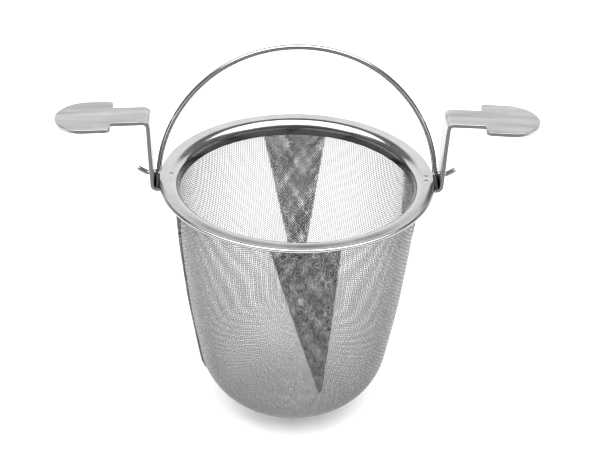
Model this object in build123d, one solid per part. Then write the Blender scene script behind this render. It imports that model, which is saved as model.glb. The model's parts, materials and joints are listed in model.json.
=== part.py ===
"""Tea strainer with a deep wire-mesh basket, a wide steel rim, two rest tabs and a bail.

Row frame: millimetres, +Z up, +X through the right tab. The origin is the centre of the
basket's flat base.
"""
from build123d import *
import math
import os

# Rim: one stamped ring with a collar, a flange and a folded outer hem.
SHEET = 0.5
HEM_THICKNESS = 1.2
HEM_Z = 71.2
RIM_R = 37.5
HEM_INNER_R = 34.6
COLLAR_R = 31.9
COLLAR_DROP = 4.2
LIP_R = 2.5

# Mesh basket: woven cloth, drawn here as a thin closed wall.
CLOTH = 0.5
BASE_FLAT_R = 7.0
BASE_ROUND_R = 20.0
WALL_LEAN = 10.0
WALL_MID_R = 30.3
WALL_MID_Z = 38.2
WALL_TOP_Z = 67.0

# Pleats: triangular folds of spare cloth lying flat on the outside of the wall.
PLEAT_THICKNESS = 0.9
PLEAT_HALF_WIDTH = 8.9
PLEAT_APEX_Z = 19.0
PLEAT_TOP_GAP = 0.3

# The right pleat is a little narrower than the front and rear ones.
RIGHT_PLEAT_HALF_WIDTH = 7.4

# The left pleat is narrower and flatter, and its lower corner stands off the wall.
LEFT_PLEAT_THICKNESS = 0.5
LEFT_PLEAT_HALF_WIDTH = 3.7
LEFT_PLEAT_APEX_Z = 12.0
LEFT_PLEAT_SHIFT = 0.8
CORNER_THICKNESS = 1.4
CORNER_TOP = (29.4, 31.0)
CORNER_TIP = (27.0, 13.9)
CORNER_FOOT = (24.6, 9.8)
CORNER_ROOTS = ((23.0, 9.5), (25.0, 14.0), (28.0, 30.5))

# Rest tabs: bent strap, foot under the rim, leg up, neck and pad outwards.
STRAP = 1.1
TAB_WIDTH = 8.8
TAB_BEND_R = 1.3
FOOT_X = 34.9
LEG_X = 39.05
LEG_LEAN = 2.8
TAB_TOP = 19.4
TAB_DROOP = 2.5
PAD_START_X = 49.5
PAD_END_X = 64.6
PAD_WIDTH = 16.3
PAD_CORNER_R = 1.4

# Bail: round wire, ends through one hole in each leg.
WIRE_R = 0.7
PIN_CLEARANCE = 0.06
PIVOT_RISE = 1.75
BAIL_CROWN_Z = 39.4
BAIL_SHOULDER_X = 24.8
BAIL_SHOULDER_Z = 29.3
BAIL_LEG_X = 37.2
BAIL_LEG_Z = 3.4
BAIL_BEND_R = 1.2
TAIL_BEND_X = 40.6
TAIL_LENGTH = 2.6
TAIL_ANGLE = 31.0

RIM_TOP_Z = HEM_Z + HEM_THICKNESS / 2
HEM_UNDER_Z = HEM_Z - HEM_THICKNESS / 2
PIVOT_Z = HEM_Z + PIVOT_RISE
CLOTH_OUTER_R = COLLAR_R + SHEET + CLOTH
CLOTH_TOP_Z = RIM_TOP_Z - LIP_R


def revolved(profile):
    """Turns a closed X-Z outline about the Z axis."""
    return revolve(profile, Axis.Z, 360)


def rim_ring():
    """Collar, rounded lip, flange and hem as one ring."""
    lip_x = COLLAR_R + LIP_R
    lip_z = RIM_TOP_Z - LIP_R
    hem_r = HEM_THICKNESS / 2
    hem_x = RIM_R - hem_r
    collar_z = RIM_TOP_Z - COLLAR_DROP
    with BuildSketch(Plane.XZ) as section:
        with BuildLine():
            Line((COLLAR_R, collar_z), (COLLAR_R, lip_z))
            RadiusArc((COLLAR_R, lip_z), (lip_x, RIM_TOP_Z), LIP_R)
            Line((lip_x, RIM_TOP_Z), (hem_x, RIM_TOP_Z))
            RadiusArc((hem_x, RIM_TOP_Z), (RIM_R, HEM_Z), hem_r)
            RadiusArc((RIM_R, HEM_Z), (hem_x, HEM_UNDER_Z), hem_r)
            Line((hem_x, HEM_UNDER_Z), (HEM_INNER_R, HEM_UNDER_Z))
            Line((HEM_INNER_R, HEM_UNDER_Z), (HEM_INNER_R, RIM_TOP_Z - SHEET))
            Line((HEM_INNER_R, RIM_TOP_Z - SHEET), (lip_x, RIM_TOP_Z - SHEET))
            RadiusArc((lip_x, RIM_TOP_Z - SHEET), (COLLAR_R + SHEET, lip_z), SHEET - LIP_R)
            Line((COLLAR_R + SHEET, lip_z), (COLLAR_R + SHEET, collar_z))
            Line((COLLAR_R + SHEET, collar_z), (COLLAR_R, collar_z))
        make_face()
    return revolved(section.sketch)


def cup_outline(growth):
    """Closed half outline of the cup, grown outwards by growth from the cloth's outer face."""
    lean = math.radians(WALL_LEAN)
    round_r = BASE_ROUND_R + growth
    start = (BASE_FLAT_R + round_r * math.cos(lean), BASE_ROUND_R - round_r * math.sin(lean))
    mid = (WALL_MID_R + growth, WALL_MID_Z)
    top = (CLOTH_OUTER_R + growth, WALL_TOP_Z)
    with BuildSketch(Plane.XZ) as section:
        with BuildLine():
            Line((0, CLOTH_TOP_Z), (0, -growth))
            Line((0, -growth), (BASE_FLAT_R, -growth))
            RadiusArc((BASE_FLAT_R, -growth), start, -round_r)
            Spline(start, mid, top, tangents=[(math.sin(lean), math.cos(lean)), (0, 1)])
            Line(top, (CLOTH_OUTER_R + growth, CLOTH_TOP_Z))
            Line((CLOTH_OUTER_R + growth, CLOTH_TOP_Z), (0, CLOTH_TOP_Z))
        make_face()
    return section.sketch


def cup(growth):
    """Solid cup bounded by the grown outline."""
    return revolved(cup_outline(growth))


def mesh_basket():
    """Thin cup wall, open at the top."""
    return cup(0) - cup(-CLOTH)


def fold(half_width, apex_shift, apex_z, thickness):
    """Triangular cloth fold on the outside of the wall, facing -Y."""
    top_z = CLOTH_TOP_Z - PLEAT_TOP_GAP
    outline = Plane.XZ * make_face(
        Polyline(
            (-half_width, top_z),
            (half_width, top_z),
            (apex_shift + 0.4, apex_z),
            (apex_shift - 0.4, apex_z),
            close=True,
        )
    )
    wedge = extrude(outline, amount=RIM_R + 5)
    return (cup(thickness) & wedge) - cup(0)


def pleat(turn, apex_shift, half_width=PLEAT_HALF_WIDTH):
    """Flat pleat, turned about Z."""
    flat = fold(half_width, apex_shift, PLEAT_APEX_Z, PLEAT_THICKNESS)
    return Rot(0, 0, turn) * flat


def left_pleat():
    """Narrow pleat with a corner of cloth that stands off the wall near the base."""
    flat = fold(
        LEFT_PLEAT_HALF_WIDTH, LEFT_PLEAT_SHIFT, LEFT_PLEAT_APEX_Z, LEFT_PLEAT_THICKNESS
    )
    ring = [CORNER_TOP, CORNER_TIP, CORNER_FOOT, *CORNER_ROOTS]
    side = Plane.YZ * make_face(Polyline(*[(-r, z) for r, z in ring], close=True))
    corner = extrude(side, amount=CORNER_THICKNESS / 2, both=True)
    corner = Pos(LEFT_PLEAT_SHIFT, 0, 0) * corner
    return Rot(0, 0, 279.5) * (flat + (corner - cup(0)))


def leg_x(z):
    """X of the leg's middle plane at height z."""
    return LEG_X + (z - PIVOT_Z) * math.tan(math.radians(LEG_LEAN))


def tab():
    """Right-hand rest tab with its pivot hole."""
    foot_z = HEM_UNDER_Z - STRAP / 2
    neck_z = HEM_Z + TAB_TOP - STRAP / 2
    neck_x = leg_x(neck_z)
    end_z = neck_z - (PAD_END_X + 1 - neck_x) * math.tan(math.radians(TAB_DROOP))
    path = FilletPolyline(
        (FOOT_X, 0, foot_z),
        (leg_x(foot_z), 0, foot_z),
        (neck_x, 0, neck_z),
        (PAD_END_X + 1, 0, end_z),
        radius=TAB_BEND_R,
    )
    section = Plane(origin=path @ 0, z_dir=path % 0) * Rectangle(STRAP, PAD_WIDTH + 2)
    if abs(section.bounding_box().size.Z - STRAP) > 0.01:
        section = Plane(origin=path @ 0, z_dir=path % 0) * Rectangle(PAD_WIDTH + 2, STRAP)
    strap = sweep(section, path=path)
    nose_x = PAD_END_X - PAD_WIDTH / 2
    plan = Pos((PAD_START_X + nose_x) / 2, 0) * Rectangle(nose_x - PAD_START_X, PAD_WIDTH)
    plan = fillet(plan.vertices().group_by(Axis.X)[0], PAD_CORNER_R)
    plan += Pos(nose_x, 0) * Circle(PAD_WIDTH / 2)
    neck_length = PAD_START_X + 2 - FOOT_X
    plan += Pos(FOOT_X + neck_length / 2, 0) * Rectangle(neck_length, TAB_WIDTH)
    trimmed = strap & extrude(plan, amount=HEM_Z + 2 * TAB_TOP)
    hole = Pos(LEG_X, 0, PIVOT_Z) * Rot(0, 90, 0) * Cylinder(WIRE_R + PIN_CLEARANCE, 4 * STRAP)
    return trimmed - hole


def bail_handle():
    """Bail wire with cranked ends and upturned tails."""
    crown = Vector(0, 0, HEM_Z + BAIL_CROWN_Z)
    shoulder = Vector(BAIL_SHOULDER_X, 0, HEM_Z + BAIL_SHOULDER_Z)
    knee = Vector(BAIL_LEG_X, 0, HEM_Z + BAIL_LEG_Z)
    arch = TangentArc(crown, shoulder, tangent=(1, 0, 0))
    side = TangentArc(shoulder, knee, tangent=arch % 1)
    heading = side % 1
    elbow = knee + heading * ((PIVOT_Z - knee.Z) / heading.Z)
    tail_bend = Vector(TAIL_BEND_X, 0, PIVOT_Z)
    tail_run = TAIL_LENGTH * math.cos(math.radians(TAIL_ANGLE))
    tail_rise = TAIL_LENGTH * math.sin(math.radians(TAIL_ANGLE))
    tail_end = tail_bend + Vector(tail_run, 0, tail_rise)
    crank = FilletPolyline(knee, elbow, tail_bend, tail_end, radius=BAIL_BEND_R)
    path = Wire([arch, side, *crank.edges()])
    half = sweep(Plane(origin=crown, z_dir=(1, 0, 0)) * Circle(WIRE_R), path=path)
    return half + mirror(half, Plane.YZ)


PARTS = {
    "rim_ring": rim_ring(),
    "mesh_basket": mesh_basket(),
    "front_pleat": pleat(2.7, 5.5),
    "right_pleat": pleat(98.5, 2.0, RIGHT_PLEAT_HALF_WIDTH),
    "rear_pleat": pleat(179.7, -2.0),
    "left_pleat": left_pleat(),
    "right_tab": tab(),
    "left_tab": mirror(tab(), Plane.YZ),
    "bail_handle": bail_handle(),
}

os.makedirs("parts", exist_ok=True)
for name, shape in PARTS.items():
    export_step(shape, "parts/" + name + ".step")
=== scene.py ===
"""Looks of the tea strainer: woven basket, folded pleats, stamped rim, strap tabs, wire bail."""
import json
import math

import bpy
import numpy as np
from mathutils import Matrix, Vector


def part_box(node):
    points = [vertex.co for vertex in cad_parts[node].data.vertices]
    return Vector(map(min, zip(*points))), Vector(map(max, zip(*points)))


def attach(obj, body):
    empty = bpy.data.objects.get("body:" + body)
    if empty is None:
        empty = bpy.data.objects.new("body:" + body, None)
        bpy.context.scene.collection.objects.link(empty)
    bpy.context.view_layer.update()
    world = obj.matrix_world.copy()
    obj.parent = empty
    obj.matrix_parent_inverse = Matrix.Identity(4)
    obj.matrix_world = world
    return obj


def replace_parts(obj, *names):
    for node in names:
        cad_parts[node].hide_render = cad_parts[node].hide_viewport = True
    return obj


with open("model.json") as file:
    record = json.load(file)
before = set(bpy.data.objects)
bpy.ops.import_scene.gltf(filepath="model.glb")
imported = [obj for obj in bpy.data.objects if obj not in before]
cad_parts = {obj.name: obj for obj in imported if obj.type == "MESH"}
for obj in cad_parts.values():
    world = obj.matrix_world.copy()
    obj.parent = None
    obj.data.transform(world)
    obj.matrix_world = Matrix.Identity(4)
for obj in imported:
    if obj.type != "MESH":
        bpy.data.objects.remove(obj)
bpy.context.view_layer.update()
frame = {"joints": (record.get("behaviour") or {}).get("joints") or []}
MM = 0.001

# ---------------------------------------------------------------- sizes, in metres
RIM_LOW, RIM_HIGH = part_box("rim_ring")
BAIL_LOW, BAIL_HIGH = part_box("bail_handle")
TAB_LOW, TAB_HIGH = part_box("right_tab")
PIVOT = Vector(frame["joints"][0]["pos_m"])
RIM_R = RIM_HIGH.x
RIM_TOP = RIM_HIGH.z
SHEET = 0.5 * MM
HEM = 1.2 * MM
HEM_Z = RIM_TOP - HEM / 2
HEM_INNER = 34.6 * MM
COLLAR_R = 31.9 * MM
LIP_R = 2.5 * MM
STRAP = 1.1 * MM
BASE_FLAT = 7.0 * MM
BASE_ROUND = 20.0 * MM
WALL_LEAN = math.radians(10.0)
WALL_MID = (30.3 * MM, 38.2 * MM)
WALL_TOP = (32.9 * MM, 67.0 * MM)
CLOTH_TOP = RIM_TOP - LIP_R
CLOTH_MID = 0.25 * MM
PITCH = 0.62 * MM
WIRE = 0.178 * MM


# ---------------------------------------------------------------- camera
def make_camera():
    """Product view from in front, about 30 degrees above the rim."""
    elevation, yaw, roll = math.radians(29.75), math.radians(2.07), math.radians(1.49)
    distance = 461.1 * MM
    lens_mm, film_mm = 101.874, 36.0
    aim_right, aim_down = 0.0025, 0.0272
    target = Vector((0, 0, HEM_Z))
    away = Vector((
        -math.cos(elevation) * math.sin(yaw),
        -math.cos(elevation) * math.cos(yaw),
        math.sin(elevation),
    ))
    place = target + away * distance
    forward = -away
    right = forward.cross(Vector((0, 0, 1))).normalized()
    up = right.cross(forward)
    forward = (forward + right * aim_right - up * aim_down).normalized()
    right = forward.cross(Vector((0, 0, 1))).normalized()
    up = right.cross(forward)
    rolled_right = right * math.cos(roll) + up * math.sin(roll)
    rolled_up = up * math.cos(roll) - right * math.sin(roll)
    data = bpy.data.cameras.new("camera")
    data.sensor_width = film_mm
    data.lens = lens_mm
    data.clip_start, data.clip_end = 0.01, 50.0
    cam = bpy.data.objects.new("camera", data)
    bpy.context.scene.collection.objects.link(cam)
    turn = Matrix((rolled_right, rolled_up, -forward)).transposed()
    cam.matrix_world = Matrix.Translation(place) @ turn.to_4x4()
    bpy.context.scene.camera = cam


make_camera()


# ---------------------------------------------------------------- materials
class Nodes:
    """Short way to wire up a Principled material."""

    def __init__(self, name):
        self.material = bpy.data.materials.new(name)
        self.material.use_nodes = True
        self.tree = self.material.node_tree
        self.shader = self.tree.nodes["Principled BSDF"]

    def add(self, kind, **values):
        node = self.tree.nodes.new(kind)
        for key, value in values.items():
            if key in node.inputs:
                node.inputs[key].default_value = value
            else:
                setattr(node, key, value)
        return node

    def link(self, source, target):
        self.tree.links.new(source, target)

    def ramp(self, source, low, high, start=0.3, end=0.7):
        """Maps source from start..end onto two colours or values."""
        node = self.add("ShaderNodeValToRGB")
        stops = node.color_ramp.elements
        stops[0].position, stops[1].position = start, end
        stops[0].color, stops[1].color = low, high
        self.link(source, node.inputs["Fac"])
        return node.outputs["Color"]


def grey(value, warmth=0.0):
    """Grey of the given brightness, very slightly warm."""
    return (value * (1 + warmth), value, value * (1 - 1.5 * warmth), 1.0)


def steel(name, shade, roughness, grain_scale, grain, smudge=0.06, bands=None):
    """Stainless sheet: fine grain bump, faint smudges in the gloss, slight tone change."""
    m = Nodes(name)
    m.shader.inputs["Metallic"].default_value = 1.0
    place = m.add("ShaderNodeTexCoord")
    stretch = m.add("ShaderNodeMapping")
    stretch.inputs["Scale"].default_value = grain_scale
    m.link(place.outputs["Object"], stretch.inputs["Vector"])
    fine = m.add("ShaderNodeTexNoise", Scale=1.0, Detail=3.0, Roughness=0.6)
    m.link(stretch.outputs["Vector"], fine.inputs["Vector"])
    cloud = m.add("ShaderNodeTexNoise", Scale=130.0, Detail=4.0, Roughness=0.55)
    m.link(place.outputs["Object"], cloud.inputs["Vector"])
    streak = cloud
    if bands:
        lengthen = m.add("ShaderNodeMapping")
        lengthen.inputs["Scale"].default_value = bands
        m.link(place.outputs["Object"], lengthen.inputs["Vector"])
        streak = m.add("ShaderNodeTexNoise", Scale=1.0, Detail=3.0, Roughness=0.5)
        m.link(lengthen.outputs["Vector"], streak.inputs["Vector"])
    low = 0.74 if bands else 0.89
    tone = m.ramp(streak.outputs["Fac"], grey(shade * low, 0.004), grey(shade * 1.08, 0.004))
    m.link(tone, m.shader.inputs["Base Color"])
    gloss = m.ramp(cloud.outputs["Fac"], grey(roughness), grey(roughness + smudge), 0.35, 0.75)
    m.link(gloss, m.shader.inputs["Roughness"])
    bump = m.add("ShaderNodeBump", Strength=grain, Distance=0.02 * MM)
    m.link(fine.outputs["Fac"], bump.inputs["Height"])
    m.link(bump.outputs["Normal"], m.shader.inputs["Normal"])
    return m.material


def wire_cloth(name, shade, roughness, spread, speckle=1500.0, reach=0.14):
    """Drawn wire whose knuckles differ in tone and gloss from crossing to crossing; with a wide
    spread the light specks are painted glints.
    """
    m = Nodes(name)
    m.shader.inputs["Metallic"].default_value = 1.0
    place = m.add("ShaderNodeTexCoord")
    speck = m.add("ShaderNodeTexNoise", Scale=speckle, Detail=2.0, Roughness=0.7)
    m.link(place.outputs["Object"], speck.inputs["Vector"])
    dark, light = shade * (1 - spread), shade * (1 + spread)
    tone = m.ramp(
        speck.outputs["Fac"], grey(dark, 0.003), grey(light, 0.003), 0.5 - reach, 0.5 + reach
    )
    m.link(tone, m.shader.inputs["Base Color"])
    gloss = m.ramp(speck.outputs["Fac"], grey(roughness + 0.08), grey(roughness - 0.06))
    m.link(gloss, m.shader.inputs["Roughness"])
    return m.material


def maths(tree, operation, first, second=None):
    """Output of a Math node; second is a socket, a number or nothing."""
    node = tree.nodes.new("ShaderNodeMath")
    node.operation = operation
    tree.links.new(first, node.inputs[0])
    if isinstance(second, float):
        node.inputs[1].default_value = second
    elif second is not None:
        tree.links.new(second, node.inputs[1])
    return node.outputs[0]


def surface_axes(tree, output):
    """X, Y and Z of the surface's place (Object) or facing (Normal)."""
    place = tree.nodes.new("ShaderNodeTexCoord")
    split = tree.nodes.new("ShaderNodeSeparateXYZ")
    tree.links.new(place.outputs[output], split.inputs["Vector"])
    return split.outputs


def level_between(tree, value, start, end):
    """0 at start, 1 at end, clamped."""
    level = tree.nodes.new("ShaderNodeMapRange")
    level.inputs["From Min"].default_value = start
    level.inputs["From Max"].default_value = end
    tree.links.new(value, level.inputs["Value"])
    return level.outputs["Result"]


def darken_base_colour(tree, factor, shade):
    """Mixes the base colour towards a darker grey by a factor; used for painted shade and for the
    strap's darker edges.
    """
    target = tree.nodes["Principled BSDF"].inputs["Base Color"]
    plain_colour = target.links[0].from_socket
    mix = tree.nodes.new("ShaderNodeMix")
    mix.data_type = "RGBA"
    tree.links.new(factor, mix.inputs["Factor"])
    mix.inputs["B"].default_value = grey(shade)
    tree.links.new(plain_colour, mix.inputs["A"])
    tree.links.new(mix.outputs["Result"], target)


def darken(material, output, axis, start, end, shade, both_ways=False):
    """Darkens the base colour by place (Object) or by facing (Normal) along one axis."""
    tree = material.node_tree
    value = surface_axes(tree, output)[axis]
    if both_ways:
        value = maths(tree, "ABSOLUTE", value)
    darken_base_colour(tree, level_between(tree, value, start, end), shade)


def shade_pocket(material, start, end, shade):
    """Paints shade on the strap's inner faces, those turned to the cup or upwards, below a height.
    """
    tree = material.node_tree
    where, facing = surface_axes(tree, "Object"), surface_axes(tree, "Normal")
    side = maths(tree, "SIGN", where["X"])
    outward = maths(tree, "MULTIPLY", side, facing["X"])
    inner = maths(tree, "GREATER_THAN", maths(tree, "SUBTRACT", facing["Z"], outward), 0.3)
    level = level_between(tree, where["Z"], start, end)
    darken_base_colour(tree, maths(tree, "MULTIPLY", level, inner), shade)


RIM_STEEL = steel("rim_steel", 0.50, 0.15, (900.0, 900.0, 900.0), 0.25)
# Painted dark reflection: the collar below the lip is darkened.
darken(RIM_STEEL, "Object", "Z", RIM_TOP - 1.1 * MM, RIM_TOP - 2.4 * MM, 0.08)
# Painted shade: faces of the ring turned downwards are darkened.
darken(RIM_STEEL, "Normal", "Z", -0.05, -0.5, 0.06)
TAB_STEEL = steel(
    "tab_steel", 0.47, 0.20, (60.0, 1500.0, 60.0), 0.07, 0.10, bands=(45.0, 330.0, 110.0)
)
# Painted shade in the pocket behind each leg, below the pivot.
shade_pocket(TAB_STEEL, PIVOT.z + 0.7 * MM, PIVOT.z - 0.5 * MM, 0.04)
darken(TAB_STEEL, "Normal", "Y", 0.80, 0.97, 0.13, both_ways=True)
BAIL_STEEL = steel("bail_steel", 0.44, 0.18, (300.0, 300.0, 300.0), 0.02)
# Painted dark reflection: a dark line along the wire's side facing -Y.
darken(BAIL_STEEL, "Normal", "Y", -0.95, -0.995, 0.12)
CLOTH_STEEL = wire_cloth("cloth_steel", 0.39, 0.28, 0.30)
# Pleat wire: a darker copy of the cloth as painted shade of the folded layers, with painted glints
# in its specks.
PLEAT_PAINTED_SHADE = wire_cloth("pleat_painted_shade", 0.21, 0.18, 0.95, speckle=2200.0, reach=0.07)


# ---------------------------------------------------------------- mesh helpers
def mesh_object(name, points, quads, material):
    """Object from an (n, 3) array of points and an (m, 4) array of corners."""
    mesh = bpy.data.meshes.new(name)
    points = np.asarray(points, np.float32)
    quads = np.asarray(quads, np.int32)
    mesh.vertices.add(len(points))
    mesh.vertices.foreach_set("co", points.ravel())
    mesh.loops.add(quads.size)
    mesh.loops.foreach_set("vertex_index", quads.ravel())
    mesh.polygons.add(len(quads))
    mesh.polygons.foreach_set("loop_start", np.arange(0, quads.size, 4, dtype=np.int32))
    mesh.polygons.foreach_set("use_smooth", np.ones(len(quads), dtype=bool))
    mesh.update(calc_edges=True)
    mesh.validate()
    mesh.materials.append(material)
    obj = bpy.data.objects.new(name, mesh)
    bpy.context.scene.collection.objects.link(obj)
    return obj


def tube_rings(path, normal, radius, sides):
    """Rings of points round a path; normal is a unit vector per point, across the path."""
    along = np.gradient(path, axis=0)
    along /= np.linalg.norm(along, axis=1)[:, None]
    side = np.cross(along, normal)
    side /= np.linalg.norm(side, axis=1)[:, None]
    out = np.cross(side, along)
    turn = 2 * np.pi * (np.arange(sides) + 0.5) / sides
    ring = np.cos(turn)[None, :, None] * side[:, None]
    ring = ring + np.sin(turn)[None, :, None] * out[:, None]
    return path[:, None] + radius * ring


def tube_quads(count, sides, offset):
    """Corner numbers of a tube of count rings, without its ends."""
    ring = np.arange(count - 1)[:, None] * sides + offset
    a = ring + np.arange(sides)[None]
    b = ring + (np.arange(sides)[None] + 1) % sides
    return np.stack([a, b, b + sides, a + sides], axis=2).reshape(-1, 4)


def end_quads(count, sides):
    """Corner numbers that close both ends of a tube with an even number of sides."""
    quads = []
    for ring, flip in ((0, True), (count - 1, False)):
        base = ring * sides
        for k in range(sides // 2 - 1):
            quad = [base + k, base + k + 1, base + sides - 2 - k, base + sides - 1 - k]
            quads.append(quad[::-1] if flip else quad)
    return np.array(quads)


class Batch:
    """Collects four-sided wires into one mesh."""

    SIDES = 4

    def __init__(self):
        self.points, self.quads, self.count = [], [], 0

    def add_tube(self, path, normal, radius):
        rings = tube_rings(path, normal, radius, self.SIDES)
        first, last = self.count, self.count + (len(path) - 1) * self.SIDES
        self.quads.append(tube_quads(len(path), self.SIDES, self.count))
        self.quads.append(np.array([[3, 2, 1, 0]]) + first)
        self.quads.append(np.array([[0, 1, 2, 3]]) + last)
        self.points.append(rings.reshape(-1, 3))
        self.count += len(path) * self.SIDES

    def build(self, name, material):
        return mesh_object(name, np.concatenate(self.points), np.concatenate(self.quads), material)


# ---------------------------------------------------------------- cup surface
def hermite(p0, p1, t0, t1, count):
    """Cubic from p0 to p1 with end tangents t0 and t1."""
    k = np.linspace(0, 1, count)[:, None]
    return (
        (2 * k**3 - 3 * k**2 + 1) * p0
        + (k**3 - 2 * k**2 + k) * t0
        + (3 * k**2 - 2 * k**3) * p1
        + (k**3 - k**2) * t1
    )


def cup_profile(inset):
    """Arc length, radius and height of the cup's section, inset from its outer face."""
    turn = np.linspace(0, math.pi / 2 - WALL_LEAN, 60)
    low = np.stack([
        BASE_FLAT + BASE_ROUND * np.sin(turn),
        BASE_ROUND - BASE_ROUND * np.cos(turn),
    ], axis=1)
    start, mid, top = low[-1], np.array(WALL_MID), np.array(WALL_TOP)
    first, second = np.linalg.norm(mid - start), np.linalg.norm(top - mid)
    t_start = np.array([math.sin(WALL_LEAN), math.cos(WALL_LEAN)])
    t_mid = (top - start) / np.linalg.norm(top - start)
    t_top = np.array([0.0, 1.0])
    wall = hermite(start, mid, t_start * first, t_mid * first, 60)[1:]
    upper = hermite(mid, top, t_mid * second, t_top * second, 60)[1:]
    flat = np.array([[x, 0.0] for x in np.linspace(0, BASE_FLAT, 12)[:-1]])
    end = np.array([[WALL_TOP[0], CLOTH_TOP]])
    outline = np.concatenate([flat, low, wall, upper, end])
    along = np.gradient(outline, axis=0)
    along /= np.linalg.norm(along, axis=1)[:, None]
    outward = np.stack([along[:, 1], -along[:, 0]], axis=1)
    outline = outline - outward * inset
    outline[:, 0] = np.maximum(outline[:, 0], 0)
    step = np.linalg.norm(np.diff(outline, axis=0), axis=1)
    return np.concatenate([[0], np.cumsum(step)]), outline, outward


ARC, OUTLINE, OUTWARD = cup_profile(CLOTH_MID)
ARC_TOP = ARC[-1]


def waviness(s, turn):
    """Hand-formed cloth is slightly uneven."""
    lift = np.clip((s - 0.02) / 0.03, 0, 1) * np.clip((ARC_TOP - s) / 0.012, 0, 1)
    bumps = 0.06 * np.sin(3 * turn + 0.7 + 60 * s) + 0.05 * np.sin(7 * turn - 90 * s + 2.1)
    return bumps * MM * lift


def on_cup(s, turn, raise_by=0.0):
    """Point and outward normal on the cup at arc length s and angle turn about Z."""
    radius = np.interp(s, ARC, OUTLINE[:, 0])
    height = np.interp(s, ARC, OUTLINE[:, 1])
    out_r = np.interp(s, ARC, OUTWARD[:, 0])
    out_z = np.interp(s, ARC, OUTWARD[:, 1])
    raise_by = raise_by + waviness(s, turn)
    radius = radius + out_r * raise_by
    height = height + out_z * raise_by
    cos, sin = np.cos(turn), np.sin(turn)
    point = np.stack([radius * cos, radius * sin, height], axis=-1)
    normal = np.stack([out_r * cos, out_r * sin, out_z], axis=-1)
    return point, normal


def radius_at(s):
    """Radius of the cup at arc length s."""
    return np.interp(s, ARC, OUTLINE[:, 0])


# ---------------------------------------------------------------- woven cloth
SHEAR = math.radians(50.0)
FOLD = math.pi / 4
WALL_R = 0.031
WALL_FROM = 0.045
PANEL_HALF = 0.034
SPREAD = math.pi / 2 / (SHEAR + math.sin(SHEAR) * math.cos(SHEAR))
LEAN_TABLE = np.linspace(-1.4, 1.4, 1401)
TURN_TABLE = SPREAD / 2 * (LEAN_TABLE + np.sin(LEAN_TABLE) * np.cos(LEAN_TABLE))


def sheet_from_cup(s, turn):
    """Flat-sheet coordinates of a cup point; turn is measured from the panel's middle."""
    flat_u, flat_v = s * np.cos(turn), s * np.sin(turn)
    lean = np.interp(turn, TURN_TABLE, LEAN_TABLE)
    reach = SPREAD * radius_at(s)
    wall_v = reach * np.sin(lean)
    wall_u = s - reach * np.sin(lean) ** 2 / 2
    mix = np.clip((s - 0.012) / 0.030, 0, 1)
    mix = mix * mix * (3 - 2 * mix)
    return flat_u * (1 - mix) + wall_u * mix, flat_v * (1 - mix) + wall_v * mix


def cup_from_sheet(u, v):
    """Inverse of sheet_from_cup, by Newton steps."""
    s, turn = np.hypot(u, v), np.arctan2(v, u)
    wall_s = u + v**2 / (2 * SPREAD * WALL_R)
    far = s > WALL_FROM
    s = np.where(far, wall_s, s)
    turn = np.where(far, v / WALL_R, turn)
    s = np.clip(s, 1e-6, ARC_TOP * 1.1)
    eps_s, eps_t = 1e-6, 1e-4
    for _ in range(14):
        f_u, f_v = sheet_from_cup(s, turn)
        s_u, s_v = sheet_from_cup(s + eps_s, turn)
        t_u, t_v = sheet_from_cup(s, turn + eps_t)
        a, b = (s_u - f_u) / eps_s, (t_u - f_u) / eps_t
        c, d = (s_v - f_v) / eps_s, (t_v - f_v) / eps_t
        det = a * d - b * c
        det = np.where(np.abs(det) < 1e-9, 1e-9, det)
        r_u, r_v = u - f_u, v - f_v
        s = s + np.clip((d * r_u - b * r_v) / det, -0.004, 0.004)
        turn = turn + np.clip((a * r_v - c * r_u) / det, -0.15, 0.15)
        s = np.clip(s, 1e-6, ARC_TOP * 1.1)
        turn = np.clip(turn, -1.2, 1.2)
    return s, turn


def weave_lines(batch, points, normals, keep, over, wire):
    """One family of wires; rows run along axis 0, and keep says which spans exist."""
    height = np.where(over, 0.5, -0.5)[..., None] * wire
    path = points + normals * height
    for column in range(points.shape[1]):
        spans = keep[:, column]
        if not spans.any():
            continue
        edges = np.flatnonzero(np.diff(np.concatenate([[0], spans.astype(int), [0]])))
        for start, stop in zip(edges[::2], edges[1::2]):
            run = slice(start, stop + 1)
            batch.add_tube(path[run, column], normals[run, column], wire / 2)


PLEAT_HALF = 8.9 * MM
PLEAT_APEX = 19.0 * MM
WIDE = (PLEAT_HALF, PLEAT_APEX, 0.30 * MM)
MIDDLING = (7.4 * MM, PLEAT_APEX, 0.30 * MM)
NARROW = (3.7 * MM, 12.0 * MM, 0.15 * MM)
PLEATS = {
    "front_pleat": (math.radians(-87.3), 5.5 * MM, WIDE),
    "right_pleat": (math.radians(8.5), 2.0 * MM, MIDDLING),
    "rear_pleat": (math.radians(89.7), -2.0 * MM, WIDE),
    "left_pleat": (math.radians(189.5), 0.8 * MM, NARROW),
}


def arc_at_height(z):
    """Arc length of the wall at a height."""
    wall = OUTLINE[:, 1] > 0.5 * MM
    return float(np.interp(z, OUTLINE[wall, 1], ARC[wall]))


def in_fold(s, across, shift, half_width, apex_z, margin):
    """Whether a point of the wall lies in a pleat's triangle."""
    low, high = arc_at_height(apex_z), ARC_TOP - 0.2 * MM
    share = (s - low) / (high - low)
    near = np.abs(across - shift * (1 - share)) <= half_width * share + margin
    return (share >= 0) & near


def in_any_fold(s, turn):
    """Whether a point of the cup lies under any pleat."""
    found = np.zeros(s.shape, bool)
    for middle, shift, (half_width, apex_z, _) in PLEATS.values():
        away = (turn - middle + math.pi) % (2 * math.pi) - math.pi
        found |= in_fold(s, away * radius_at(s), shift, half_width, apex_z, 0.1 * MM)
    return found


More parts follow.
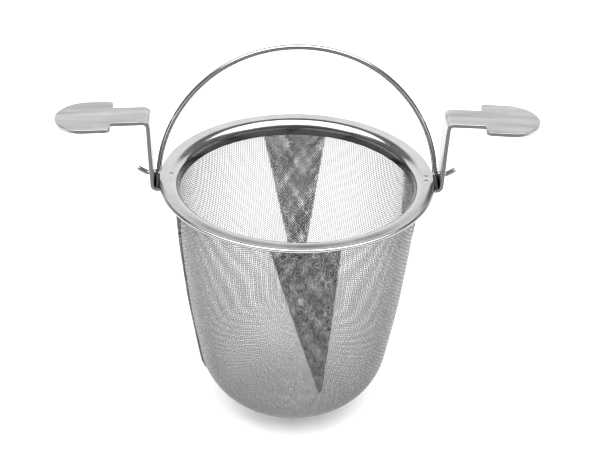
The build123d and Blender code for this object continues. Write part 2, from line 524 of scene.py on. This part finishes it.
def weave_panel(name, middle):
    """Wires of one quarter of the cup, between two pleats."""
    reach = int(ARC_TOP / PITCH) + 2
    first_v = -int(PANEL_HALF / PITCH) - 4
    last_v = -first_v
    i = np.arange(0, reach)[:, None]
    j = np.arange(first_v, last_v)[None, :]
    u, v = np.broadcast_arrays(i * PITCH, (j + 0.5) * PITCH)
    s, turn = cup_from_sheet(u, v)
    got_u, got_v = sheet_from_cup(s, turn)
    good = np.hypot(got_u - u, got_v - v) < 0.1 * PITCH
    points, normals = on_cup(s, turn + middle)
    over = (i + j) % 2 == 0

    def inside(axis):
        if axis == 0:
            mid_s, mid_t = (s[1:] + s[:-1]) / 2, (turn[1:] + turn[:-1]) / 2
            sound = good[1:] & good[:-1]
        else:
            mid_s, mid_t = (s[:, 1:] + s[:, :-1]) / 2, (turn[:, 1:] + turn[:, :-1]) / 2
            sound = good[:, 1:] & good[:, :-1]
        sound = sound & (np.abs(mid_t) <= FOLD) & (mid_s <= ARC_TOP)
        return sound & ~in_any_fold(mid_s, mid_t + middle)

    batch = Batch()
    weave_lines(batch, points, normals, inside(0), over, WIRE)
    weave_lines(
        batch,
        points.transpose(1, 0, 2),
        normals.transpose(1, 0, 2),
        inside(1).T,
        ~over.T,
        WIRE,
    )
    obj = batch.build(name, CLOTH_STEEL)
    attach(obj, "strainer")
    return obj


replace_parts(weave_panel("weave_rear_right", math.radians(45)), "mesh_basket")
weave_panel("weave_rear_left", math.radians(135))
weave_panel("weave_front_left", math.radians(225))
weave_panel("weave_front_right", math.radians(315))


# ---------------------------------------------------------------- pleats
def corner_lift(s, across, low):
    """How far the left fold's loose corner stands off the wall."""
    tip = low + 3.0 * MM
    rise = np.clip((s - (low - 2.5 * MM)) / (tip - low + 2.5 * MM), 0, 1)
    fall = np.clip(1 - (s - tip) / (15 * MM), 0, 1)
    ridge = np.clip(1.3 - np.abs(across) / (1.8 * MM), 0, 1)
    return 0.25 * MM * np.where(s < tip, rise, fall) * ridge


PLEAT_SLANTS = [math.radians(a) for a in (45, 41, 34)]
PLEAT_PITCH = 0.56 * MM
PLEAT_WIRE = 0.18 * MM
CREASES = np.random.default_rng(11)


def weave_pleat(name, middle, apex_shift, shape, material):
    """Folded layers of cloth lying on the wall, as a tapering triangle."""
    half_width, apex_z, gap = shape
    low, high = arc_at_height(apex_z), ARC_TOP - 0.2 * MM
    batch = Batch()
    for layer, slant in enumerate(PLEAT_SLANTS):
        reach = int((high - low) / PLEAT_PITCH) + 12
        i = np.arange(-reach, reach)[:, None]
        j = np.arange(-reach, reach)[None, :]
        across = (i - j) * PLEAT_PITCH * math.sin(slant) + layer * 0.21 * MM
        along = low + (i + j) * PLEAT_PITCH * math.cos(slant) + layer * 0.13 * MM
        shake = CREASES.uniform(-1, 1, across.shape + (2,)) * 0.09 * MM
        across, along = across + shake[..., 0], along + shake[..., 1]
        s = np.clip(along, 0, ARC_TOP)
        turn = across / np.maximum(radius_at(s), 1e-3)
        lift = gap * layer + CREASES.uniform(-1, 1, across.shape) * 0.05 * MM
        if shape is NARROW:
            lift = lift + corner_lift(s, across - apex_shift, low) * layer / 2
        points, normals = on_cup(s, turn + middle, lift)
        over = (i + j) % 2 == 0

        def inside(a, b):
            mid_s, mid_x = (along[a] + along[b]) / 2, (across[a] + across[b]) / 2
            kept = in_fold(mid_s, mid_x, apex_shift, half_width, apex_z, 0.35 * MM)
            return kept & (mid_s <= high)

        rows = inside((slice(1, None), slice(None)), (slice(None, -1), slice(None)))
        columns = inside((slice(None), slice(1, None)), (slice(None), slice(None, -1)))
        weave_lines(batch, points, normals, rows, over, PLEAT_WIRE)
        turned, turned_normals = points.transpose(1, 0, 2), normals.transpose(1, 0, 2)
        weave_lines(batch, turned, turned_normals, columns.T, ~over.T, PLEAT_WIRE)
    obj = batch.build(name, material)
    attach(obj, "strainer")
    return obj


for node, (turn, shift, shape) in PLEATS.items():
    # All pleats but the right one get the pleat wire with painted shade and glints.
    finish = CLOTH_STEEL if node == "right_pleat" else PLEAT_PAINTED_SHADE
    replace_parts(weave_pleat("weave_" + node, turn, shift, shape, finish), node)


# ---------------------------------------------------------------- rim
def arc_points(centre, radius, start, stop, count):
    """Points of an arc in the section plane, angles in degrees from +r."""
    turn = np.radians(np.linspace(start, stop, count))
    return [(centre[0] + radius * math.cos(a), centre[1] + radius * math.sin(a)) for a in turn]


def rim_profile():
    """Closed section of the stamped ring, as (radius, height)."""
    hem_r = HEM / 2
    hem_x = RIM_R - hem_r
    lip_x, lip_z = COLLAR_R + LIP_R, RIM_TOP - LIP_R
    collar_low = RIM_LOW.z
    edge = SHEET / 2
    top = [(COLLAR_R, lip_z)]
    top += arc_points((lip_x, lip_z), LIP_R, 180, 90, 16)[1:]
    fall = 0.07 * MM
    for share in np.linspace(0.03, 0.97, 30):
        x = lip_x + (hem_x - lip_x) * share
        top.append((x, RIM_TOP - fall * share**2 * (3 - 2 * share)))
    top += arc_points((hem_x, HEM_Z - fall / 2), hem_r - fall / 2, 90, -90, 16)
    inner = HEM_INNER
    top += arc_points((inner, HEM_Z - hem_r + 0.25 * MM), 0.25 * MM, -90, -180, 5)
    top += [(inner - 0.25 * MM, RIM_TOP - SHEET - 0.02 * MM)]
    top += arc_points((lip_x, lip_z), LIP_R - SHEET, 90, 180, 12)[1:]
    top += [(COLLAR_R + SHEET, collar_low + edge)]
    top += arc_points((COLLAR_R + edge, collar_low + edge), edge, 0, -180, 8)[1:]
    return np.array(top)


# Marks on the flange above the tabs' feet, as (x, y) in millimetres
WELD_MARKS = ((35.0, -1.9), (35.2, 0.5), (-34.0, 1.3))


def rim_ring():
    """Ring with slight spring, and shallow marks over the tabs' feet."""
    section = rim_profile()
    count = 1024
    turn = np.linspace(0, 2 * np.pi, count, endpoint=False)
    turn = turn - 0.35 * np.sin(2 * turn)
    r = np.broadcast_to(section[:, 0][None], (count, len(section))).copy()
    z = np.broadcast_to(section[:, 1][None], (count, len(section))).copy()
    sway = 0.05 * np.sin(2 * turn + 0.6) + 0.03 * np.sin(5 * turn + 1.9)
    z += sway[:, None] * MM - 0.05 * MM
    flat = np.clip((r - 34.2 * MM) / (2.4 * MM), 0, 1)
    ripple = np.sin(4 * turn + 2.2) + 0.7 * np.sin(9 * turn + 0.5) + 0.5 * np.sin(14 * turn)
    z += 0.018 * MM * (ripple * np.sin(turn) ** 2)[:, None] * flat
    r -= (0.04 * (1 + np.sin(3 * turn + 0.4)))[:, None] * MM
    x, y = r * np.cos(turn)[:, None], r * np.sin(turn)[:, None]
    upper = section[None, :, 1] > RIM_TOP - 0.2 * MM
    for spot_x, spot_y in WELD_MARKS:
        away = np.hypot(x - spot_x * MM, y - spot_y * MM)
        z -= np.where(upper, 0.07 * MM * np.exp(-((away / (0.6 * MM)) ** 2)), 0)
    points = np.stack([x, y, z], axis=2).reshape(-1, 3)
    n = len(section)
    a = np.arange(count)[:, None] * n + np.arange(n)[None]
    b = np.arange(count)[:, None] * n + (np.arange(n)[None] + 1) % n
    c = ((np.arange(count)[:, None] + 1) % count) * n + (np.arange(n)[None] + 1) % n
    d = ((np.arange(count)[:, None] + 1) % count) * n + np.arange(n)[None]
    quads = np.stack([a, d, c, b], axis=2).reshape(-1, 4)
    obj = mesh_object("rim", points, quads, RIM_STEEL)
    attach(obj, "strainer")
    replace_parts(obj, "rim_ring")


rim_ring()


# ---------------------------------------------------------------- bent paths
def filleted(corners, radii, step):
    """Dense points of a polyline in the X-Z plane with rounded corners."""
    corners = [np.array(c, float) for c in corners]
    points = [corners[0]]
    for before, corner, after, radius in zip(corners, corners[1:], corners[2:], radii):
        back = (before - corner) / np.linalg.norm(before - corner)
        ahead = (after - corner) / np.linalg.norm(after - corner)
        half = math.acos(float(np.clip(back @ ahead, -1, 1))) / 2
        cut = radius / math.tan(half)
        start = corner + back * cut
        bisector = (back + ahead) / np.linalg.norm(back + ahead)
        centre = corner + bisector * radius / math.sin(half)
        a0, a1 = start - centre, corner + ahead * cut - centre
        sweep = math.atan2(a0[0] * a1[1] - a0[1] * a1[0], a0 @ a1)
        for k in np.linspace(0, 1, 10):
            c, s = math.cos(sweep * k), math.sin(sweep * k)
            points.append(centre + np.array([c * a0[0] - s * a0[1], s * a0[0] + c * a0[1]]))
    points.append(corners[-1])
    dense = [points[0]]
    for a, b in zip(points, points[1:]):
        pieces = max(1, int(np.linalg.norm(b - a) / step))
        dense += [a + (b - a) * (k + 1) / pieces for k in range(pieces)]
    return np.array(dense)


# ---------------------------------------------------------------- tabs
TAB_END = TAB_HIGH.x
TAB_HALF = 4.4 * MM
PAD_HALF = TAB_HIGH.y
PAD_START = 49.5 * MM
PAD_CORNER = 1.4 * MM
BEND_R = 1.3 * MM
LEG_LEAN = math.radians(2.8)
DROOP = math.radians(2.5)
LEG_AT_PIVOT = 39.05 * MM
FOOT_START = TAB_LOW.x
TAB_RISE = 19.4 * MM
HOLE_R = 0.76 * MM
STRAP_CORNER = 0.22 * MM


def tab_path():
    """Middle line of the strap: foot, leg and pad."""
    foot_z = HEM_Z - HEM / 2 - STRAP / 2
    neck_z = HEM_Z + TAB_RISE - STRAP / 2
    leg_foot = LEG_AT_PIVOT + (foot_z - PIVOT.z) * math.tan(LEG_LEAN)
    leg_neck = LEG_AT_PIVOT + (neck_z - PIVOT.z) * math.tan(LEG_LEAN)
    end_z = neck_z - (TAB_END - leg_neck) * math.tan(DROOP)
    corners = [(FOOT_START, foot_z), (leg_foot, foot_z), (leg_neck, neck_z), (TAB_END, end_z)]
    return filleted(corners, [BEND_R, BEND_R], 0.35 * MM)


def tab_half_width(x):
    """Half width of the strap's plan at distance x from the middle."""
    nose = TAB_END - PAD_HALF
    if x < PAD_START:
        return TAB_HALF
    if x < PAD_START + PAD_CORNER:
        left = PAD_START + PAD_CORNER - x
        return PAD_HALF - PAD_CORNER + math.sqrt(max(PAD_CORNER**2 - left**2, 0))
    if x > nose:
        return math.sqrt(max(PAD_HALF**2 - (x - nose) ** 2, 0))
    return PAD_HALF


def resampled(path, stations):
    """Points and unit tangents of a path at the given lengths."""
    length = np.concatenate([[0], np.cumsum(np.linalg.norm(np.diff(path, axis=0), axis=1))])
    where = np.stack([np.interp(stations, length, path[:, k]) for k in range(2)], axis=1)
    near = 0.05 * MM
    ahead = np.stack([np.interp(stations + near, length, path[:, k]) for k in range(2)], axis=1)
    behind = np.stack([np.interp(stations - near, length, path[:, k]) for k in range(2)], axis=1)
    along = ahead - behind
    return where, along / np.linalg.norm(along, axis=1)[:, None], length


def strap_section(half, thick, corner):
    """Rounded rectangle across the strap, as (side, up)."""
    corner = min(corner, half * 0.9, thick * 0.45)
    steps = np.radians(np.linspace(0, 90, 4))
    guard = 0.10 * MM  # keeps the flats' shading flat
    rows = []
    for sx, sy, base in ((1, 1, 0), (-1, 1, 90), (-1, -1, 180), (1, -1, 270)):
        turns = steps + math.radians(base)
        arc = [
            (
                sx * (half - corner) + corner * math.cos(a),
                sy * (thick / 2 - corner) + corner * math.sin(a),
            )
            for a in turns
        ]
        first = (
            arc[0][0] + guard * math.sin(turns[0]),
            arc[0][1] - guard * math.cos(turns[0]),
        )
        last = (
            arc[-1][0] - guard * math.sin(turns[-1]),
            arc[-1][1] + guard * math.cos(turns[-1]),
        )
        rows += [first, *arc, last]
    return np.array(rows)


def tab(name, node, side):
    """One bent strap with rounded edges; side is +1 for the right one."""
    path = tab_path()
    _, _, length = resampled(path, np.array([0.0]))
    total = length[-1]
    pad_part = 60
    neck_at = float(np.interp(PAD_START, path[-pad_part:, 0], length[-pad_part:]))
    nose_at = float(np.interp(TAB_END - PAD_HALF, path[-pad_part:, 0], length[-pad_part:]))
    stations = list(np.arange(0, neck_at - 0.5 * MM, 0.3 * MM))
    stations += [neck_at - 0.16 * MM, neck_at - 0.08 * MM, neck_at - 0.02 * MM, neck_at]
    stations += list(neck_at + PAD_CORNER * (1 - np.cos(np.radians(np.linspace(8, 90, 9)))))
    stations += list(np.linspace(neck_at + PAD_CORNER, nose_at, 12)[1:])
    stations += list(nose_at + (total - nose_at) * np.sin(np.radians(np.linspace(3, 90, 26))))
    stations = np.array(stations)
    where, along, _ = resampled(path, stations)
    rings = []
    for k, (place, ahead) in enumerate(zip(where, along)):
        past = stations[k] - neck_at
        if past < -0.05 * MM:
            half = TAB_HALF + (0.10 * MM if past > -0.3 * MM else 0)
        elif past < 0:
            half = PAD_HALF - PAD_CORNER - 0.1 * MM
        else:
            half = max(tab_half_width(PAD_START + past), 0.35 * MM)
        section = strap_section(half, STRAP, STRAP_CORNER)
        up = np.array([-ahead[1], ahead[0]])
        sag = 0.05 * MM * math.sin(stations[k] * 420 + side)
        x = place[0] + up[0] * (section[:, 1] + sag * 0.5)
        z = place[1] + up[1] * (section[:, 1] + sag * 0.5)
        rings.append(np.stack([side * x, section[:, 0], z], axis=1))
    rings = np.array(rings)
    count, sides = rings.shape[:2]
    quads = np.concatenate([tube_quads(count, sides, 0), end_quads(count, sides)])
    if side < 0:
        quads = quads[:, ::-1]
    obj = mesh_object(name, rings.reshape(-1, 3), quads, TAB_STEEL)
    drill(obj, (side * LEG_AT_PIVOT, 0, PIVOT.z), HOLE_R)
    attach(obj, "strainer")
    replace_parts(obj, node)


def drill(obj, place, radius):
    """Round hole along X."""
    bpy.ops.mesh.primitive_cylinder_add(
        vertices=40, radius=radius, depth=5 * MM, location=place, rotation=(0, math.pi / 2, 0)
    )
    bit = bpy.context.object
    cut = obj.modifiers.new("hole", "BOOLEAN")
    cut.operation, cut.solver, cut.object = "DIFFERENCE", "EXACT", bit
    graph = bpy.context.evaluated_depsgraph_get()
    drilled = bpy.data.meshes.new_from_object(obj.evaluated_get(graph))
    obj.modifiers.clear()
    obj.data = drilled
    bpy.data.objects.remove(bit)
    soften(obj)


def soften(obj, angle=35.0):
    """Smooth shading with crisp edges."""
    mesh = obj.data
    mesh.polygons.foreach_set("use_smooth", [True] * len(mesh.polygons))
    mesh.update()
    bpy.context.view_layer.objects.active = obj
    obj.select_set(True)
    bpy.ops.object.shade_smooth_by_angle(angle=math.radians(angle))
    obj.select_set(False)


tab("tab_right", "right_tab", 1)
tab("tab_left", "left_tab", -1)


# ---------------------------------------------------------------- bail
WIRE_R = BAIL_HIGH.y
CROWN_Z = BAIL_HIGH.z - WIRE_R
SHOULDER = (24.8 * MM, HEM_Z + 29.3 * MM)
KNEE = (37.2 * MM, HEM_Z + 3.4 * MM)
TAIL_BEND = 40.6 * MM
TAIL = 2.6 * MM
TAIL_LIFT = math.radians(31.0)


def arc_between(start, heading, stop, count):
    """Arc from start to stop that leaves start along heading; returns points and end heading."""
    start, heading, stop = np.array(start), np.array(heading), np.array(stop)
    chord = stop - start
    normal = np.array([-heading[1], heading[0]])
    if chord @ normal < 0:
        normal = -normal
    radius = (chord @ chord) / (2 * (chord @ normal))
    centre = start + normal * radius
    a0, a1 = start - centre, stop - centre
    sweep = math.atan2(a0[0] * a1[1] - a0[1] * a1[0], a0 @ a1)
    rows = []
    for k in np.linspace(0, 1, count):
        c, s = math.cos(sweep * k), math.sin(sweep * k)
        rows.append(centre + np.array([c * a0[0] - s * a0[1], s * a0[0] + c * a0[1]]))
    c, s = math.cos(sweep), math.sin(sweep)
    turned = np.array([c * heading[0] - s * heading[1], s * heading[0] + c * heading[1]])
    return np.array(rows), turned


def bail_path():
    """Half of the wire's middle line, from the crown to the right tail."""
    crown, heading = arc_between((0, CROWN_Z), (1, 0), SHOULDER, 40)
    side, heading = arc_between(SHOULDER, heading, KNEE, 34)
    elbow = np.array(KNEE) + heading * (PIVOT.z - KNEE[1]) / heading[1]
    bend = np.array([TAIL_BEND, PIVOT.z])
    tail = bend + TAIL * np.array([math.cos(TAIL_LIFT), math.sin(TAIL_LIFT)])
    crank = filleted([KNEE, elbow, bend, tail], [1.2 * MM, 1.2 * MM], 0.4 * MM)
    return np.concatenate([crown, side[1:], crank[1:]])


def bail():
    """The whole wire, with slightly rounded ends."""
    half = bail_path()
    whole = np.concatenate([half[::-1] * np.array([-1, 1]), half[1:]])
    path = np.stack([whole[:, 0], np.zeros(len(whole)), whole[:, 1]], axis=1)
    normal = np.zeros_like(path)
    normal[:, 1] = 1.0
    sides = 20
    rings = tube_rings(path, normal, WIRE_R, sides)
    end_share, push = 0.82, 0.12 * MM
    tips = []
    for k, inner in ((0, 1), (-1, -2)):
        outward = path[k] - path[inner]
        outward = outward / np.linalg.norm(outward) * push
        tips.append(path[k] + (rings[k] - path[k]) * end_share + outward)
    rings = np.concatenate([[tips[0]], rings, [tips[1]]])
    count = len(rings)
    quads = np.concatenate([tube_quads(count, sides, 0), end_quads(count, sides)])
    obj = mesh_object("bail", rings.reshape(-1, 3), quads, BAIL_STEEL)
    soften(obj, 50.0)
    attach(obj, "bail")
    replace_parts(obj, "bail_handle")


bail()


# ---------------------------------------------------------------- stage and light
def stage():
    """Pale floor under the object."""
    bpy.ops.mesh.primitive_plane_add(size=8.0, location=(0, 0, 0))
    floor = bpy.context.object
    floor.name = "floor"
    m = Nodes("floor_white")
    m.shader.inputs["Roughness"].default_value = 0.9
    m.shader.inputs["Base Color"].default_value = (0.97, 0.97, 0.97, 1)
    floor.data.materials.append(m.material)


def area_light(name, place, aim, width, height, radiance):
    """Softbox whose face shines at the given radiance."""
    data = bpy.data.lights.new(name, "AREA")
    data.shape, data.size, data.size_y = "RECTANGLE", width, height
    data.energy = radiance * math.pi * width * height
    lamp = bpy.data.objects.new(name, data)
    bpy.context.scene.collection.objects.link(lamp)
    lamp.location = place
    lamp.rotation_euler = (Vector(aim) - Vector(place)).to_track_quat("-Z", "Y").to_euler()


def light():
    """Overhead softbox, a panel behind the object, and dim surroundings."""
    world = bpy.data.worlds.new("studio")
    world.use_nodes = True
    back = world.node_tree.nodes["Background"]
    back.inputs["Color"].default_value = (1, 1, 1, 1)
    back.inputs["Strength"].default_value = 0.22
    bpy.context.scene.world = world
    area_light(
        "overhead", place=(0, -0.38, 1.5), aim=(0, -0.1, 0), width=3.2, height=2.0, radiance=3.4
    )
    area_light(
        "behind", place=(0, 1.75, 0.68), aim=(0, 0, 0.07), width=5.0, height=1.1, radiance=1.15
    )


stage()
light()
view = bpy.context.scene.view_settings
view.view_transform = "Standard"
bpy.context.scene.cycles.filter_width = 1.3
